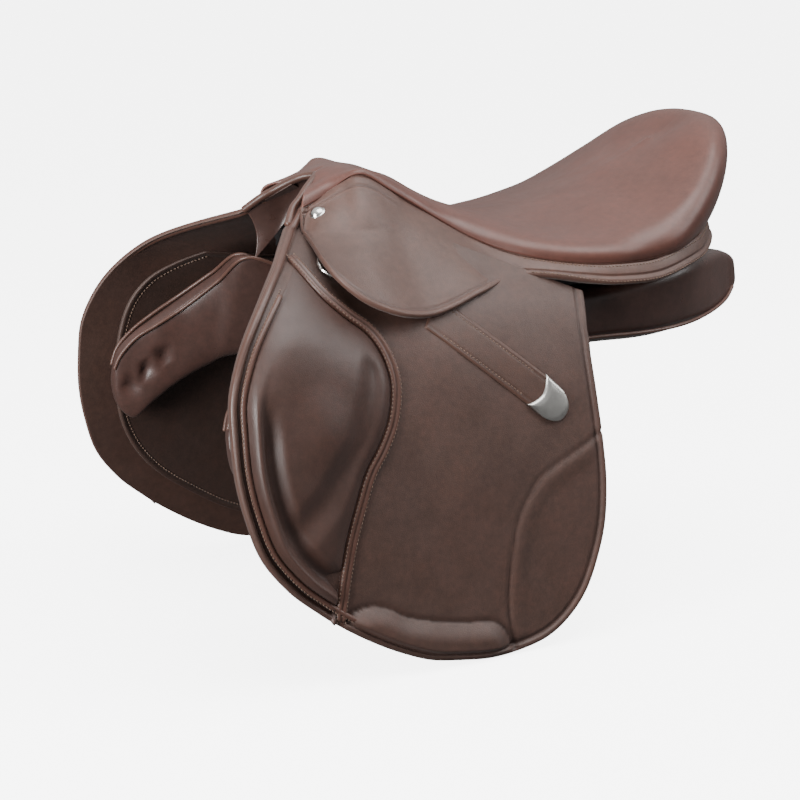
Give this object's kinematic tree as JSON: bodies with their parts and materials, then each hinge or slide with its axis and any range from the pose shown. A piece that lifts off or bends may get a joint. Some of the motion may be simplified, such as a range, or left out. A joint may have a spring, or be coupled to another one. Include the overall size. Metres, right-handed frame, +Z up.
{
  "type": "english saddle",
  "caption": "Leather riding saddle with a deep seat, hinged skirts and flaps, knee pads, cushioned panels, stirrup bars and girth straps on a sprung tree.",
  "frame": {"origin": "on the saddle's centre plane, midway along its overall length, level with the flaps' lowest edge", "axes": "+X towards the cantle, +Y to the horse's right (off side), +Z up"},
  "size_m": [0.5676, 0.3944, 0.4187],
  "materials": {
    "leather": "matte grained, double stitched",
    "seat_leather": "soft sheen",
    "panel_leather": "smooth, dark",
    "billet_leather": "firm, waxed",
    "polished_metal": "polished",
    "steel": "forged, satin",
    "tree_wood": "laminated, varnished",
    "webbing": "woven",
    "foam": "open cell foam"
  },
  "bodies": {
    "saddle": {"bar_rivet_front_near": "steel", "bar_rivet_front_off": "steel", "bar_rivet_rear_near": "steel", "bar_rivet_rear_off": "steel", "cantle_band": "leather", "dring_chape_near": "leather", "dring_chape_off": "leather", "flap_head_near": "leather", "flap_head_off": "leather", "girth_web_front_near": "webbing", "girth_web_front_off": "webbing", "girth_web_rear_near": "webbing", "girth_web_rear_off": "webbing", "gullet_plate": "steel", "knee_block_near": "leather", "knee_block_off": "leather", "panel_near": "panel_leather", "panel_off": "panel_leather", "point_pocket_near": "leather", "point_pocket_off": "leather", "pommel_facing": "leather", "saddle_nail_near": "polished_metal", "saddle_nail_off": "polished_metal", "seat_cover": "seat_leather", "seat_foam": "foam", "skirt_base_near": "leather", "skirt_base_off": "leather", "stirrup_bar_near": "steel", "stirrup_bar_off": "steel", "straining_web_cross": "webbing", "straining_web_long": "webbing", "sweat_flap_near": "panel_leather", "sweat_flap_off": "panel_leather", "thigh_block_near": "leather", "thigh_block_off": "leather", "tree": "tree_wood"},
    "near_flap": {"flap_near": "leather", "knee_pad_near": "leather", "keeper_strap_near": "leather", "keeper_cap_near": "polished_metal"},
    "near_skirt": {"skirt_near": "leather"},
    "near_bar_catch": {"bar_catch_near": "steel"},
    "near_dee": {"dring_near": "polished_metal"},
    "near_front_billet": {"billet_front_near": "billet_leather"},
    "near_middle_billet": {"billet_middle_near": "billet_leather"},
    "near_rear_billet": {"billet_rear_near": "billet_leather"},
    "off_flap": {"flap_off": "leather", "knee_pad_off": "leather", "keeper_strap_off": "leather", "keeper_cap_off": "polished_metal"},
    "off_skirt": {"skirt_off": "leather"},
    "off_bar_catch": {"bar_catch_off": "steel"},
    "off_dee": {"dring_off": "polished_metal"},
    "off_front_billet": {"billet_front_off": "billet_leather"},
    "off_middle_billet": {"billet_middle_off": "billet_leather"},
    "off_rear_billet": {"billet_rear_off": "billet_leather"}
  },
  "joints": [
    {"name": "near_flap_lift", "type": "hinge", "parent": "saddle", "child": "near_flap", "pos_m": [-0.12416, -0.1485, 0.285], "axis": [-0.999, -0.0453, 0], "range_deg": [0, 100]},
    {"name": "near_skirt_lift", "type": "hinge", "parent": "saddle", "child": "near_skirt", "pos_m": [-0.14116, -0.0585, 0.354], "axis": [-0.9, 0.375, 0.2223], "range_deg": [0, 95]},
    {"name": "near_bar_catch_open", "type": "hinge", "parent": "saddle", "child": "near_bar_catch", "pos_m": [-0.05496, -0.06964, 0.32644], "axis": [0, 0.571, 0.821], "range_deg": [0, 85], "stiffness_Nm_per_rad": 0.02},
    {"name": "near_dee_swing", "type": "hinge", "parent": "saddle", "child": "near_dee", "pos_m": [-0.15851, -0.10321, 0.32704], "axis": [-0.2758, 0.7685, 0.5773], "range_deg": [0, 15]},
    {"name": "near_front_billet_swing", "type": "hinge", "parent": "saddle", "child": "near_front_billet", "pos_m": [-0.09766, -0.1225, 0.293], "axis": [0, 1, 0], "range_deg": [-5, 5], "stiffness_Nm_per_rad": 0.05},
    {"name": "near_middle_billet_swing", "type": "hinge", "parent": "saddle", "child": "near_middle_billet", "pos_m": [-0.06366, -0.11769, 0.293], "axis": [0, 1, 0], "range_deg": [-5, 5], "stiffness_Nm_per_rad": 0.05},
    {"name": "near_rear_billet_swing", "type": "hinge", "parent": "saddle", "child": "near_rear_billet", "pos_m": [-0.02966, -0.1225, 0.293], "axis": [0, 1, 0], "range_deg": [-5, 5], "stiffness_Nm_per_rad": 0.05},
    {"name": "off_flap_lift", "type": "hinge", "parent": "saddle", "child": "off_flap", "pos_m": [-0.12416, 0.1485, 0.285], "axis": [0.999, -0.0453, 0], "range_deg": [0, 100]},
    {"name": "off_skirt_lift", "type": "hinge", "parent": "saddle", "child": "off_skirt", "pos_m": [-0.14116, 0.0585, 0.354], "axis": [0.9, 0.375, -0.2223], "range_deg": [0, 95]},
    {"name": "off_bar_catch_open", "type": "hinge", "parent": "saddle", "child": "off_bar_catch", "pos_m": [-0.05496, 0.06964, 0.32644], "axis": [0, 0.571, -0.821], "range_deg": [0, 85], "stiffness_Nm_per_rad": 0.02},
    {"name": "off_dee_swing", "type": "hinge", "parent": "saddle", "child": "off_dee", "pos_m": [-0.15851, 0.10321, 0.32704], "axis": [0.2758, 0.7685, -0.5773], "range_deg": [0, 15]},
    {"name": "off_front_billet_swing", "type": "hinge", "parent": "saddle", "child": "off_front_billet", "pos_m": [-0.09766, 0.1225, 0.293], "axis": [0, 1, 0], "range_deg": [-5, 5], "stiffness_Nm_per_rad": 0.05},
    {"name": "off_middle_billet_swing", "type": "hinge", "parent": "saddle", "child": "off_middle_billet", "pos_m": [-0.06366, 0.11769, 0.293], "axis": [0, 1, 0], "range_deg": [-5, 5], "stiffness_Nm_per_rad": 0.05},
    {"name": "off_rear_billet_swing", "type": "hinge", "parent": "saddle", "child": "off_rear_billet", "pos_m": [-0.02966, 0.1225, 0.293], "axis": [0, 1, 0], "range_deg": [-5, 5], "stiffness_Nm_per_rad": 0.05}
  ]
}
